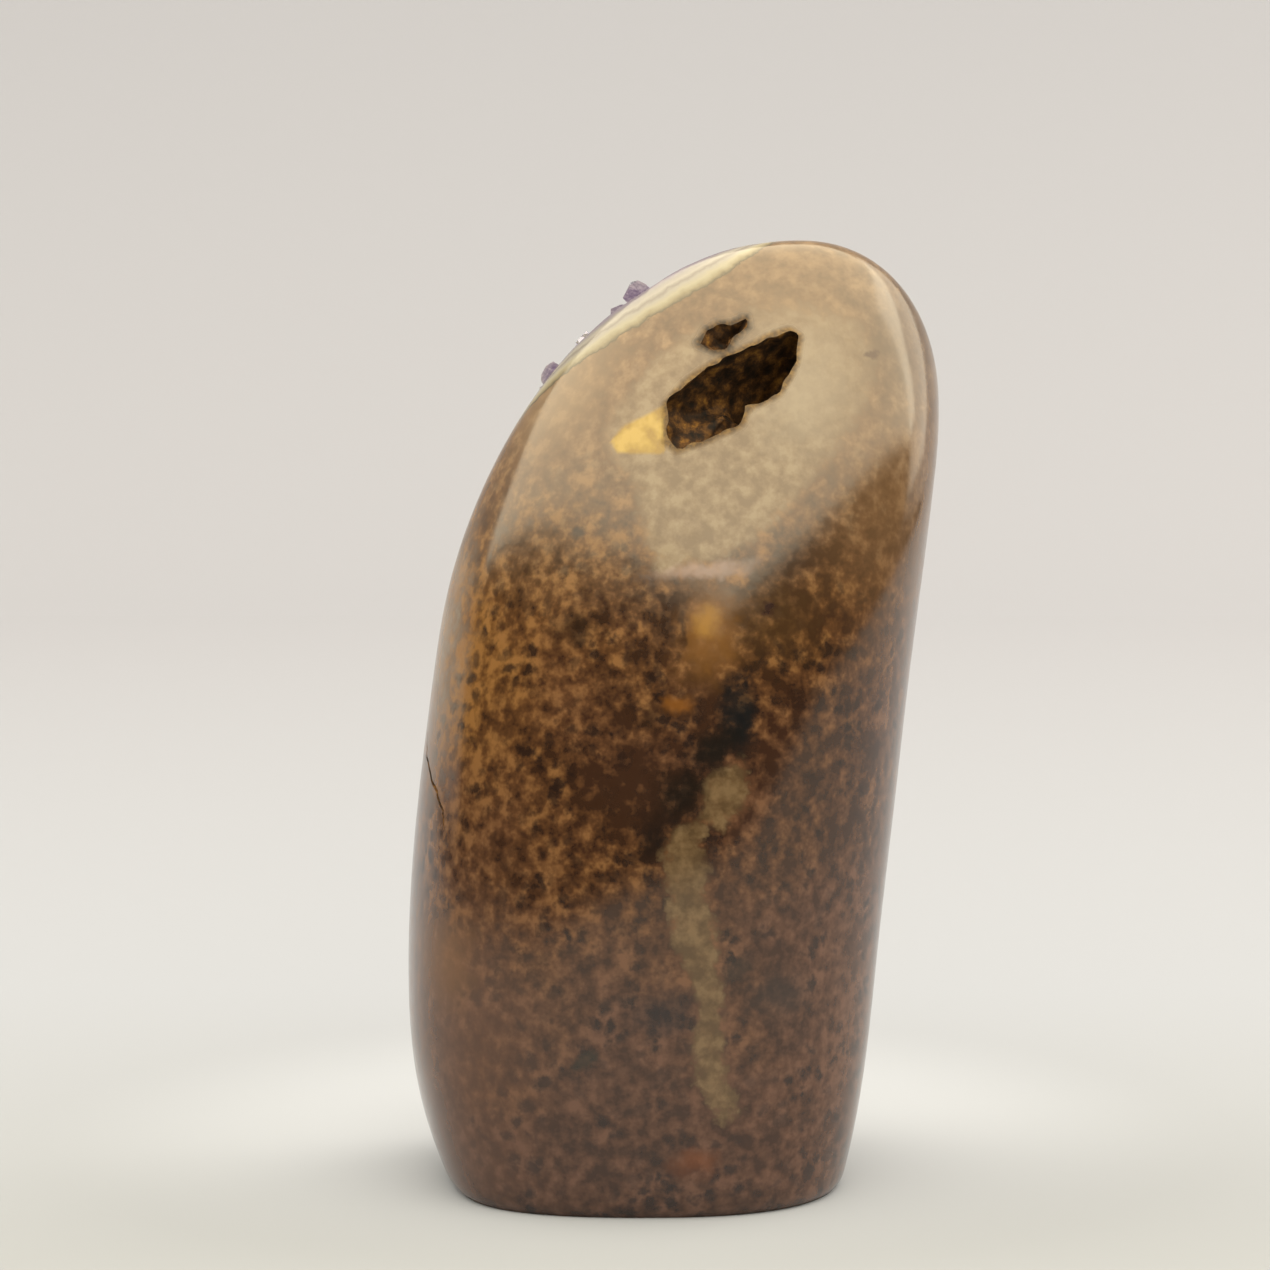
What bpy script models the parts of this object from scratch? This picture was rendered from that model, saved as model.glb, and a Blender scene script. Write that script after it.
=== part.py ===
# A polished freeform of amethyst geode on a sawn base. The rounded rock wall faces -Y, and the crystal-lined
# face leans back and up on the +Y side. Sizes are in millimetres, and MM turns them into Blender's metres.

import math
import random

import bmesh
import bpy
import numpy as np

MM = 0.001

# How far the stone reaches from its upright middle line, at each height: (height, left, right, front, back)
COLUMN = (
    (0, 22.0, 16.6, 19.1, 21.4),
    (6, 23.8, 18.5, 20.6, 22.9),
    (14, 25.4, 19.3, 21.3, 23.7),
    (24, 25.8, 20.4, 21.6, 24.0),
    (36, 25.1, 21.7, 21.6, 23.8),
    (48, 23.6, 23.1, 21.2, 23.1),
    (60, 21.1, 24.7, 20.4, 21.8),
    (72, 18.8, 25.9, 19.2, 20.4),
    (84, 15.4, 26.6, 17.7, 18.7),
    (92, 10.4, 26.8, 16.6, 17.6),
)
COLUMN_CURVE_DEGREE = 4
FRONT_POWER = 2.3  # of the section's outline: 2 is an ellipse, and more is squarer
BACK_POWER = 2.1
FOOT_SQUARENESS = 0.5
FOOT_FADE = 12.0

# The rounded top falls away from its highest point as a paraboloid
ROOF_TOP = (9.0, 7.2, 96.2)
ROOF_FALL = (0.018, 0.036)
ROOF_ROUNDING = 14.0

# The ground and polished plane through the geode's cavity
FACE_POINT = (0.0, 11.1, 50.0)
FACE_NORMAL = (-0.20, 0.94, 0.28)
FACE_ROUNDING = 6.5

# The sawn base; its edge is rounded over before the saw plane at height 0
BASE_DEPTH = 0.4
BASE_ROUNDING = 2.0
CORNER_POWER = 2.4

STONE_CENTRE = (0.0, 0.0, 40.0)
STONE_CUTS = 18
STONE_STRETCH = 1.7
FARTHEST = 90.0

# The crystal-lined hollow, an ellipsoid on the ground face: middle along and up the face, and half-axes
HOLLOW_MIDDLE = (1.0, 16.0)
HOLLOW_LEFT = 18.9
HOLLOW_RIGHT = 15.2
HOLLOW_UP = 29.4
HOLLOW_DOWN = 46.5
HOLLOW_DEPTH = 8.5
HOLLOW_SEGMENTS = 36
HOLLOW_RINGS = 16

# The open vugs on the rock side: their outlines as seen from the front, as (x, height)
VUG_OUTLINE = (
    (-0.5, 76.9), (-0.5, 73.6), (0.4, 72.7), (3.6, 73.8), (6.6, 75.2), (6.9, 76.7), (9.8, 77.7), (10.7, 78.9),
    (11.7, 80.9), (12.0, 83.1), (11.1, 83.7), (8.9, 82.9), (6.8, 81.9), (4.8, 81.1), (2.5, 79.7), (1.1, 78.6),
)
VUG_DEPTHS = (3.2, 8.2)  # at the lower left end and at the upper right end
SMALL_VUG_OUTLINE = ((3.3, 82.6), (3.9, 83.5), (5.4, 83.8), (6.4, 83.6), (5.2, 82.7))
SMALL_VUG_DEPTHS = (1.4, 2.0)
VUG_AXIS = (0.05, 0.80, -0.60)
VUG_LIFT = 3.0  # how far a cutter stands out of the stone
VUG_STEPS = ((0.25, 1.04), (0.65, 0.92), (1.0, 0.55))  # (share of the depth, width there)

# The crust of crystals that lines the hollow
GAP = 0.3
CRUST_THICKNESS = 1.6
CRUST_SEGMENTS = 28
CRUST_RINGS = 4
CRUST_BELOW_RIM = 1.0
CRYSTAL_COUNT = 68
CRYSTAL_RADIUS = (3.0, 5.0)
CRYSTAL_SEED = 11
CRYSTAL_ROOT = 0.8
CRYSTAL_PROUD = (-1.6, 1.3)  # tips, from the polished surface
CRYSTAL_LEAN = 0.22
CRYSTAL_INWARD = 0.45
CRYSTAL_SHOULDER = 0.16
TIP_HEIGHT = 1.1  # of a tip, in crystal radii; the faces of a quartz tip lean 38 degrees from its axis
SITE_TRIES = 14  # the farthest of these from the other crystals is kept
RIM_CRYSTAL = 0.62  # size of a crystal at the rim, as a share of one on the floor


def clear_scene():
    for old in list(bpy.data.objects):
        bpy.data.objects.remove(old, do_unlink=True)


def material(name, colour, roughness, transmission=0.0):
    made = bpy.data.materials.new(name)
    made.use_nodes = True
    shader = made.node_tree.nodes["Principled BSDF"]
    shader.inputs["Base Color"].default_value = (*colour, 1)
    shader.inputs["Roughness"].default_value = roughness
    shader.inputs["Metallic"].default_value = 0.0
    shader.inputs["Transmission Weight"].default_value = transmission
    return made


def unit(vector):
    vector = np.array(vector, float)
    return vector / np.linalg.norm(vector)


# The ground face's own axes: outwards, along it to the right, and up it
FACE_OUT = unit(FACE_NORMAL)
FACE_ALONG = unit(np.cross(FACE_OUT, (0, 0, 1)))
FACE_UP = np.cross(FACE_ALONG, FACE_OUT)


def on_face(along, up, out):
    return (
        np.array(FACE_POINT)
        + np.multiply.outer(along, FACE_ALONG)
        + np.multiply.outer(up, FACE_UP)
        + np.multiply.outer(out, FACE_OUT)
    )


def column_curves():
    table = np.array(COLUMN, float)
    return [np.polyfit(table[:, 0], table[:, side], COLUMN_CURVE_DEGREE) for side in (1, 2, 3, 4)]


REACHES = column_curves()


def rounded_overlap(first, second, rounding):
    """What two shapes have in common, with the corner between them rounded over."""
    a = np.maximum(first + rounding, 0)
    b = np.maximum(second + rounding, 0)
    corner = (a**CORNER_POWER + b**CORNER_POWER) ** (1 / CORNER_POWER) - rounding
    return corner + np.minimum(np.maximum(first, second) + rounding, 0)


def outside_by(points):
    """About how far points lie outside the polished surface, less than 0 where they are in the stone."""
    x, y, z = points[..., 0], points[..., 1], points[..., 2]
    left, right, front, back = [np.polyval(curve, z) for curve in REACHES]
    half_width = (left + right) / 2
    half_depth = (front + back) / 2
    across = np.abs(x - (right - left) / 2) / half_width
    through = (y - (back - front) / 2) / half_depth
    power = np.where(through > 0, BACK_POWER, FRONT_POWER) + FOOT_SQUARENESS * np.exp(-z / FOOT_FADE)
    through = np.abs(through)
    section = (across**power + through**power) ** (1 / power) - 1
    column = section * (half_width + half_depth) / 2
    dx = x - ROOF_TOP[0]
    dy = y - ROOF_TOP[1]
    steepness = np.sqrt(1 + (2 * ROOF_FALL[0] * dx) ** 2 + (2 * ROOF_FALL[1] * dy) ** 2)
    roof = (z - ROOF_TOP[2] + ROOF_FALL[0] * dx**2 + ROOF_FALL[1] * dy**2) / steepness
    face = (points - np.array(FACE_POINT)) @ FACE_OUT
    body = rounded_overlap(column, roof, ROOF_ROUNDING)
    body = rounded_overlap(body, face, FACE_ROUNDING)
    return rounded_overlap(body, -z - BASE_DEPTH, BASE_ROUNDING)


def surface_along(starts, directions, farthest=FARTHEST, level=0.0):
    """The points where rays from inside the stone reach a given distance outside its surface."""
    near = np.zeros(len(directions))
    far = np.full(len(directions), farthest)
    for _ in range(40):
        middle = (near + far) / 2
        inside = outside_by(starts + directions * middle[:, None]) < level
        near = np.where(inside, middle, near)
        far = np.where(inside, far, middle)
    return starts + directions * near[:, None]


def add_object(name, shape, finish):
    mesh = bpy.data.meshes.new(name)
    bmesh.ops.recalc_face_normals(shape, faces=shape.faces[:])
    shape.to_mesh(mesh)
    shape.free()
    made = bpy.data.objects.new(name, mesh)
    bpy.context.scene.collection.objects.link(made)
    if finish:
        mesh.materials.append(finish)
    return made


def add_cutter(name, shape):
    cutter = add_object(name, shape, None)
    cutter.hide_render = True
    cutter.display_type = "WIRE"
    return cutter


def combine(target, tool, operation, whole=False):
    boolean = target.modifiers.new(tool.name, "BOOLEAN")
    boolean.object = tool
    boolean.operation = operation
    boolean.solver = "EXACT"
    boolean.use_self = whole
    return boolean


def closed_rings(rings, first_end, last_end):
    """A closed surface through rings of points, each end drawn together to one point."""
    shape = bmesh.new()
    layers = [[shape.verts.new(point * MM) for point in ring] for ring in rings]
    count = len(layers[0])
    for lower, upper in zip(layers, layers[1:]):
        for k in range(count):
            after = (k + 1) % count
            shape.faces.new((lower[k], lower[after], upper[after], upper[k]))
    for layer, end in ((layers[0], first_end), (layers[-1], last_end)):
        tip = shape.verts.new(end * MM)
        for k in range(count):
            shape.faces.new((layer[k], layer[(k + 1) % count], tip))
    return shape


def make_stone(finish):
    """The polished body: a finely divided cube blown out along rays to the surface, then sawn flat."""
    shape = bmesh.new()
    bmesh.ops.create_cube(shape, size=2)
    bmesh.ops.subdivide_edges(shape, edges=shape.edges[:], cuts=STONE_CUTS, use_grid_fill=True)
    directions = np.array([vert.co for vert in shape.verts])
    directions = np.tan(directions * math.pi / 4)
    directions[:, 2] *= STONE_STRETCH
    directions /= np.linalg.norm(directions, axis=1)[:, None]
    points = surface_along(np.array(STONE_CENTRE), directions)
    for vert, point in zip(shape.verts, points):
        vert.co = point * MM
    everything = shape.verts[:] + shape.edges[:] + shape.faces[:]
    sawn = bmesh.ops.bisect_plane(
        shape, geom=everything, dist=1e-7, plane_co=(0, 0, 0), plane_no=(0, 0, -1), clear_outer=True
    )
    outline = [item for item in sawn["geom_cut"] if isinstance(item, bmesh.types.BMEdge)]
    corners = list({vert for edge in outline for vert in edge.verts})
    spokes = np.array([unit((vert.co.x, vert.co.y, 0.0)) for vert in corners])
    for vert, point in zip(corners, surface_along(np.zeros(3), spokes)):
        vert.co = point * MM
    bmesh.ops.contextual_create(shape, geom=outline)
    return add_object("stone", shape, finish)


def hollow_point(turn, dip, inset):
    """A point on the hollow's wall: turn goes round it, and dip is 0 at its floor and a quarter turn at the face."""
    along = np.cos(turn) * np.sin(dip)
    up = np.sin(turn) * np.sin(dip)
    along = along * (np.where(along > 0, HOLLOW_RIGHT, HOLLOW_LEFT) - inset)
    up = up * (np.where(up > 0, HOLLOW_UP, HOLLOW_DOWN) - inset)
    out = -np.cos(dip) * (HOLLOW_DEPTH - inset)
    return on_face(HOLLOW_MIDDLE[0] + along, HOLLOW_MIDDLE[1] + up, out)


def hollow_shape(inset):
    turns = np.arange(HOLLOW_SEGMENTS) * 2 * math.pi / HOLLOW_SEGMENTS
    dips = np.arange(1, HOLLOW_RINGS) * math.pi / HOLLOW_RINGS
    rings = [hollow_point(turns, dip, inset) for dip in dips]
    return closed_rings(rings, hollow_point(0.0, 0.0, inset), hollow_point(0.0, math.pi, inset))


def front_surface(outline):
    """The points of the rock side that an outline of (x, height) marks, seen from the front."""
    starts = np.array([(x, 0.0, height) for x, height in outline])
    starts[:, 1] = (starts[:, 2] - STONE_CENTRE[2]) * -0.1
    directions = np.tile((0.0, -1.0, 0.0), (len(outline), 1))
    return surface_along(starts, directions)


def vug_shape(outline, depths):
    """A pit of the given outline that narrows as it goes in, deeper at its upper right end."""
    brim = front_surface(outline)
    inwards = unit(VUG_AXIS)
    middle = brim.mean(axis=0)
    rise = brim[:, 0] + brim[:, 2]
    share = (rise - rise.min()) / (rise.max() - rise.min())
    depth = depths[0] + (depths[1] - depths[0]) * share
    rings = [brim - inwards * VUG_LIFT, brim]
    for portion, width in VUG_STEPS:
        rings.append(middle + (brim - middle) * width + inwards * (depth * portion)[:, None])
    return closed_rings(rings, rings[0].mean(axis=0), rings[-1].mean(axis=0))


def rim_dips(turns):
    """How far round from the floor the crust reaches on each side, where it nears the polished surface."""
    near = np.zeros(len(turns))
    far = np.full(len(turns), math.pi * 0.6)
    for _ in range(30):
        middle = (near + far) / 2
        covered = outside_by(hollow_point(turns, middle, GAP + CRUST_THICKNESS)) < -CRUST_BELOW_RIM
        near = np.where(covered, middle, near)
        far = np.where(covered, far, middle)
    return near


def make_crust(finish):
    """The sheet of quartz that lines the hollow, up to a little below the polished surface."""
    turns = np.arange(CRUST_SEGMENTS) * 2 * math.pi / CRUST_SEGMENTS
    brims = rim_dips(turns)
    under = []
    over = []
    for ring in range(1, CRUST_RINGS + 1):
        dips = brims * ring / CRUST_RINGS
        under.append(hollow_point(turns, dips, GAP))
        over.append(hollow_point(turns, dips, GAP + CRUST_THICKNESS))
    floor = hollow_point(0.0, 0.0, GAP)
    bed = hollow_point(0.0, 0.0, GAP + CRUST_THICKNESS)
    return add_object("amethyst_crystals", closed_rings(under + over[::-1], floor, bed), finish)


def crystal_shape(shape, foot, axis, side, radius, length, chance):
    """One six-sided quartz crystal with a six-faced tip, standing on foot along axis."""
    across = np.cross(axis, side)
    start = foot - axis * CRYSTAL_ROOT
    tip = foot + axis * length + (side * chance.uniform(-1, 1) + across * chance.uniform(-1, 1)) * radius * 0.15
    shoulder = max(length - TIP_HEIGHT * radius, 0.25 * length)
    lower = []
    upper = []
    for k in range(6):
        angle = k * math.pi / 3
        spoke = (side * math.cos(angle) + across * math.sin(angle)) * radius
        notch = CRYSTAL_SHOULDER * radius * (1 if k % 2 else -1)
        lower.append(shape.verts.new((start + spoke) * MM))
        upper.append(shape.verts.new((foot + axis * (shoulder + notch) + spoke) * MM))
    peak = shape.verts.new(tip * MM)
    shape.faces.new(lower[::-1])
    for k in range(6):
        after = (k + 1) % 6
        shape.faces.new((lower[k], lower[after], upper[after], upper[k]))
        shape.faces.new((upper[k], upper[after], peak))


def crystal_sites(chance):
    """Where the crystals stand on the crust, well apart: each one's foot, and its share of the way to the rim."""
    feet = []
    shares = []
    for _ in range(CRYSTAL_COUNT):
        turns = np.array([chance.uniform(0, 2 * math.pi) for _ in range(SITE_TRIES)])
        spread = np.sqrt([chance.random() for _ in range(SITE_TRIES)])
        dips = np.arcsin(spread * np.sin(rim_dips(turns)))
        tries = hollow_point(turns, dips, GAP + CRUST_THICKNESS)
        room = [min((math.dist(spot, foot) for foot in feet), default=0.0) for spot in tries]
        best = int(np.argmax(room))
        feet.append(tries[best])
        shares.append(spread[best])
    return feet, shares


def crystal_cluster():
    """Crystals all over the crust, leaning in a little at the rim, with their tips near the polished surface."""
    chance = random.Random(CRYSTAL_SEED)
    shape = bmesh.new()
    middle = on_face(HOLLOW_MIDDLE[0], HOLLOW_MIDDLE[1], 0.0)
    for foot, share in zip(*crystal_sites(chance)):
        inwards = unit(middle - foot) * CRYSTAL_INWARD * share
        lean = np.array([chance.uniform(-1, 1) for _ in range(3)]) * CRYSTAL_LEAN
        axis = unit(FACE_OUT + inwards + lean)
        proud = chance.uniform(*CRYSTAL_PROUD)
        tip = surface_along(foot[None, :], axis[None, :], 30.0, proud)[0]
        length = np.linalg.norm(tip - foot)
        radius = chance.uniform(*CRYSTAL_RADIUS) * (1 - (1 - RIM_CRYSTAL) * share**2)
        side = unit(np.cross(axis, (chance.uniform(-1, 1), chance.uniform(-1, 1), 1.0)))
        crystal_shape(shape, foot, axis, side, radius, length, chance)
    return shape


def keep_outer_skin(solid):
    """Applies an object's modifiers and fills the voids that the crystals close in between them."""
    bpy.context.view_layer.update()
    evaluated = solid.evaluated_get(bpy.context.evaluated_depsgraph_get())
    shape = bmesh.new()
    shape.from_mesh(evaluated.to_mesh())
    islands = []
    waiting = set(shape.verts)
    while waiting:
        island = set()
        frontier = [waiting.pop()]
        while frontier:
            vert = frontier.pop()
            island.add(vert)
            near = {edge.other_vert(vert) for edge in vert.link_edges} & waiting
            waiting -= near
            frontier.extend(near)
        islands.append(island)
    skin = max(islands, key=len)
    bmesh.ops.delete(shape, geom=[vert for vert in shape.verts if vert not in skin], context="VERTS")
    solid.modifiers.clear()
    shape.to_mesh(solid.data)
    shape.free()


def main():
    clear_scene()
    rock = material("polished basalt and agate", (0.19, 0.11, 0.06), 0.12)
    amethyst = material("amethyst", (0.30, 0.13, 0.55), 0.05, 0.8)

    stone = make_stone(rock)
    combine(stone, add_cutter("hollow_cutter", hollow_shape(0.0)), "DIFFERENCE")
    combine(stone, add_cutter("vug_cutter", vug_shape(VUG_OUTLINE, VUG_DEPTHS)), "DIFFERENCE")
    combine(stone, add_cutter("small_vug_cutter", vug_shape(SMALL_VUG_OUTLINE, SMALL_VUG_DEPTHS)), "DIFFERENCE")

    crust = make_crust(amethyst)
    combine(crust, add_cutter("crystal_cluster", crystal_cluster()), "UNION", whole=True)
    combine(crust, add_cutter("hollow_lining", hollow_shape(GAP)), "INTERSECT")
    keep_outer_skin(crust)


main()
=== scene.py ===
# A polished piece of amethyst geode on its sawn base, seen from the rounded rock side.
# Sizes are in millimetres, and mm turns them into metres.

import math
import random
from functools import partial

import bmesh
import bpy
import numpy as np
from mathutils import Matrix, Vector, noise


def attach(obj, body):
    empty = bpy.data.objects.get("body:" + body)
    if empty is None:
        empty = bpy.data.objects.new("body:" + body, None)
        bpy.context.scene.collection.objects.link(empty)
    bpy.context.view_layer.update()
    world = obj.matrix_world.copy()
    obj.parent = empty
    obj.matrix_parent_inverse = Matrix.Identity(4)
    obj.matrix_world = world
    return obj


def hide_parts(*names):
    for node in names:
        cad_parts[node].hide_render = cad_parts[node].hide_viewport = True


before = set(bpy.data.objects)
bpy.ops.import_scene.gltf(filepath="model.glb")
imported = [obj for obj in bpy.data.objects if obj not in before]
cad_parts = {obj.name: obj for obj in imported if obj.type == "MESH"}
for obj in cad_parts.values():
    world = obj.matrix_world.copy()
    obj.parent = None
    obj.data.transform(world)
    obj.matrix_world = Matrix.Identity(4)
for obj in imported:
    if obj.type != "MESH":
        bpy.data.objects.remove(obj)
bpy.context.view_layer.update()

mm = 0.001


# Helpers

def hexColour(code):  # an sRGB hex value as a linear colour
    parts = [int(code[i:i + 2], 16) / 255 for i in (1, 3, 5)]
    linear = [p / 12.92 if p <= 0.04045 else ((p + 0.055) / 1.055) ** 2.4 for p in parts]
    return (*linear, 1.0)


def addNode(tree, kind, inputs=None, stops=None, **settings):  # a node with its settings, values and links
    node = tree.nodes.new(kind)
    for name, value in settings.items():
        setattr(node, name, value)
    sockets = [socket for socket in node.inputs if socket.enabled]
    for key, value in (inputs or {}).items():
        socket = sockets[key] if isinstance(key, int) else next(s for s in sockets if s.name == key)
        for source in value if isinstance(value, list) else [value]:
            if isinstance(source, bpy.types.Node):
                source = next(output for output in source.outputs if output.enabled)
            if isinstance(source, bpy.types.NodeSocket):
                tree.links.new(source, socket)
            else:
                isColour = isinstance(source, str) and source.startswith("#")
                socket.default_value = hexColour(source) if isColour else source
    if stops:
        ramp = node.color_ramp
        while len(ramp.elements) < len(stops):
            ramp.elements.new(1.0)
        for element, (place, code) in zip(ramp.elements, stops):
            element.position = place
            element.color = hexColour(code)
    return node


def newMaterial(name):
    material = bpy.data.materials.new(name)
    material.use_nodes = True
    material.node_tree.nodes.clear()
    return material, material.node_tree


def unit(vector):
    vector = np.array(vector, float)
    return vector / np.linalg.norm(vector)


def addPiece(name, shape, materials):
    mesh = bpy.data.meshes.new(name)
    shape.to_mesh(mesh)
    shape.free()
    for material in materials:
        mesh.materials.append(material)
    piece = bpy.data.objects.new(name, mesh)
    bpy.context.scene.collection.objects.link(piece)
    return piece


def vertexPlaces(mesh):  # in millimetres
    places = np.empty(len(mesh.vertices) * 3, np.float32)
    mesh.vertices.foreach_get("co", places)
    return places.reshape(-1, 3).astype(float) / mm


def storeNumbers(mesh, name, numbers):
    layer = mesh.attributes.new(name, "FLOAT", "POINT")
    layer.data.foreach_set("value", np.asarray(numbers, np.float32))


def combine(piece, tools, operation):  # a Boolean whose result becomes the piece's mesh
    group = bpy.data.collections.new("tools")
    bpy.context.scene.collection.children.link(group)
    for tool in tools:
        group.objects.link(tool)
    boolean = piece.modifiers.new("combine", "BOOLEAN")
    boolean.operand_type = "COLLECTION"
    boolean.collection = group
    boolean.operation = operation
    boolean.solver = "MANIFOLD"
    evaluated = piece.evaluated_get(bpy.context.evaluated_depsgraph_get())
    result = bpy.data.meshes.new_from_object(evaluated)
    piece.modifiers.clear()
    piece.data = result
    for tool in tools:
        bpy.data.objects.remove(tool, do_unlink=True)
    bpy.data.collections.remove(group)


# The stone's form

stoneForm = {
    # (height, left, right, front, back): how far it reaches from its upright middle line
    "column": (
        (0, 22.0, 16.6, 19.1, 21.4), (6, 23.8, 18.5, 20.6, 22.9), (14, 25.4, 19.3, 21.3, 23.7),
        (24, 25.8, 20.4, 21.6, 24.0), (36, 25.1, 21.7, 21.6, 23.8), (48, 23.6, 23.1, 21.2, 23.1),
        (60, 21.1, 24.7, 20.4, 21.8), (72, 18.8, 25.9, 19.2, 20.4), (84, 15.4, 26.6, 17.7, 18.7),
        (92, 10.4, 26.8, 16.6, 17.6),
    ),
    "curveDegree": 4,
    "frontPower": 2.3,  # of the section's outline: 2 is an ellipse, and more is squarer
    "backPower": 2.1,
    "footSquareness": 0.5,
    "footFade": 12.0,
    "roofTop": (9.0, 7.2, 96.2),  # the domed top falls away from here as a paraboloid
    "roofFall": (0.018, 0.036),
    "roofRounding": 14.0,
    "facePoint": (0.0, 11.1, 50.0),  # the ground plane through the geode's cavity
    "faceNormal": (-0.20, 0.94, 0.28),
    "faceRounding": 6.5,
    "baseDepth": 0.4,
    "baseRounding": 2.0,
    "cornerPower": 2.4,
    "centre": (0.0, 0.0, 40.0),
    "cuts": 92,
    "stretch": 1.7,
    "farthest": 90.0,
    "searchSteps": 34,  # each halves the stretch on which the surface is looked for
    "spineLean": -0.1,  # the line that the rock side is looked for from leans forward as it rises
    "sawnSlack": 1e-7,  # metres
    "waveHeight": 0.09,  # a hand-polished surface is never quite true
    "waveLengths": (13.0, 30.0),
    "waveCount": 9,
    "waveSeed": 5,
    "sharpEdge": 32.0,  # degrees
}

faceOut = unit(stoneForm["faceNormal"])
faceAlong = unit(np.cross(faceOut, (0, 0, 1)))
faceUp = np.cross(faceAlong, faceOut)
levels, *sides = np.array(stoneForm["column"], float).T
reaches = [np.polyfit(levels, side, stoneForm["curveDegree"]) for side in sides]


def onFace(along, up, out):  # a place measured from the ground face
    return (
        np.array(stoneForm["facePoint"])
        + np.multiply.outer(along, faceAlong)
        + np.multiply.outer(up, faceUp)
        + np.multiply.outer(out, faceOut)
    )


def roundedOverlap(first, second, rounding):  # where two forms overlap, with a rounded edge between them
    power = stoneForm["cornerPower"]
    a = np.maximum(first + rounding, 0)
    b = np.maximum(second + rounding, 0)
    corner = (a**power + b**power) ** (1 / power) - rounding
    return corner + np.minimum(np.maximum(first, second) + rounding, 0)


def polishWaves(points):
    chance = random.Random(stoneForm["waveSeed"])
    total = np.zeros(points.shape[:-1])
    for _ in range(stoneForm["waveCount"]):
        direction = unit([chance.gauss(0, 1) for _ in range(3)])
        length = chance.uniform(*stoneForm["waveLengths"])
        total += np.sin(points @ direction * 2 * math.pi / length + chance.uniform(0, 2 * math.pi))
    return total * stoneForm["waveHeight"] * math.sqrt(2 / stoneForm["waveCount"])


def trueOutsideBy(points):  # about how far points lie outside the polished surface, before its waves
    form = stoneForm
    x, y, z = points[..., 0], points[..., 1], points[..., 2]
    left, right, front, back = [np.polyval(curve, z) for curve in reaches]
    halfWidth = (left + right) / 2
    halfDepth = (front + back) / 2
    across = np.abs(x - (right - left) / 2) / halfWidth
    through = (y - (back - front) / 2) / halfDepth
    power = np.where(through > 0, form["backPower"], form["frontPower"])
    power = power + form["footSquareness"] * np.exp(-z / form["footFade"])
    section = (across**power + np.abs(through) ** power) ** (1 / power) - 1
    column = section * (halfWidth + halfDepth) / 2
    dx = x - form["roofTop"][0]
    dy = y - form["roofTop"][1]
    fallX, fallY = form["roofFall"]
    steepness = np.sqrt(1 + (2 * fallX * dx) ** 2 + (2 * fallY * dy) ** 2)
    roof = (z - form["roofTop"][2] + fallX * dx**2 + fallY * dy**2) / steepness
    face = (points - np.array(form["facePoint"])) @ faceOut
    body = roundedOverlap(column, roof, form["roofRounding"])
    body = roundedOverlap(body, face, form["faceRounding"])
    return roundedOverlap(body, -z - form["baseDepth"], form["baseRounding"])


def outsideBy(points):
    return trueOutsideBy(points) + polishWaves(points)


def surfaceAlong(starts, directions, farthest=stoneForm["farthest"], level=0.0):
    near = np.zeros(len(directions))
    far = np.full(len(directions), farthest)
    for _ in range(stoneForm["searchSteps"]):
        middle = (near + far) / 2
        inside = outsideBy(starts + directions * middle[:, None]) < level
        near = np.where(inside, middle, near)
        far = np.where(inside, far, middle)
    return starts + directions * near[:, None]


def frontSurface(across, heights):  # the rock side's points at these places, seen from the front
    spine = (heights - stoneForm["centre"][2]) * stoneForm["spineLean"]
    starts = np.stack([across, spine, heights], axis=1)
    return surfaceAlong(starts, np.tile((0.0, -1.0, 0.0), (len(across), 1)))


def makeStone():  # a grid of even patches, drawn out from the middle to the polished surface and sawn flat
    shape = bmesh.new()
    bmesh.ops.create_cube(shape, size=2)
    bmesh.ops.subdivide_edges(shape, edges=shape.edges[:], cuts=stoneForm["cuts"], use_grid_fill=True)
    directions = np.tan(np.array([vert.co for vert in shape.verts]) * math.pi / 4)
    directions[:, 2] *= stoneForm["stretch"]
    directions /= np.linalg.norm(directions, axis=1)[:, None]
    for vert, place in zip(shape.verts, surfaceAlong(np.array(stoneForm["centre"]), directions)):
        vert.co = place * mm
    everything = shape.verts[:] + shape.edges[:] + shape.faces[:]
    sawn = bmesh.ops.bisect_plane(shape, geom=everything, dist=stoneForm["sawnSlack"], plane_co=(0, 0, 0),
                                  plane_no=(0, 0, -1), clear_outer=True)
    outline = [item for item in sawn["geom_cut"] if isinstance(item, bmesh.types.BMEdge)]
    corners = list({vert for edge in outline for vert in edge.verts})
    spokes = np.array([unit((vert.co.x, vert.co.y, 0.0)) for vert in corners])
    for vert, place in zip(corners, surfaceAlong(np.zeros(3), spokes)):
        vert.co = place * mm
    bmesh.ops.contextual_create(shape, geom=outline)
    bmesh.ops.recalc_face_normals(shape, faces=shape.faces[:])
    return shape


def closedRings(rings, firstEnd, lastEnd, finish=0):  # a closed skin through rings of points
    shape = bmesh.new()
    layers = [[shape.verts.new(place * mm) for place in ring] for ring in rings]
    count = len(layers[0])
    for lower, upper in zip(layers, layers[1:]):
        for k in range(count):
            after = (k + 1) % count
            shape.faces.new((lower[k], lower[after], upper[after], upper[k]))
    for layer, end in ((layers[0], firstEnd), (layers[-1], lastEnd)):
        tip = shape.verts.new(end * mm)
        for k in range(count):
            shape.faces.new((layer[k], layer[(k + 1) % count], tip))
    for face in shape.faces:
        face.material_index = finish
    bmesh.ops.recalc_face_normals(shape, faces=shape.faces[:])
    return shape


# The hollow, the vugs and the crack

hollowForm = {
    "middle": (1.0, 16.0),  # along and up the ground face
    "left": 18.9,
    "right": 15.2,
    "up": 29.4,
    "down": 46.5,
    "depth": 8.5,
    "rough": 0.35,  # how far the rim wanders
    "roughLength": 3.2,
    "segments": 144,
    "rings": 60,
}

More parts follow.
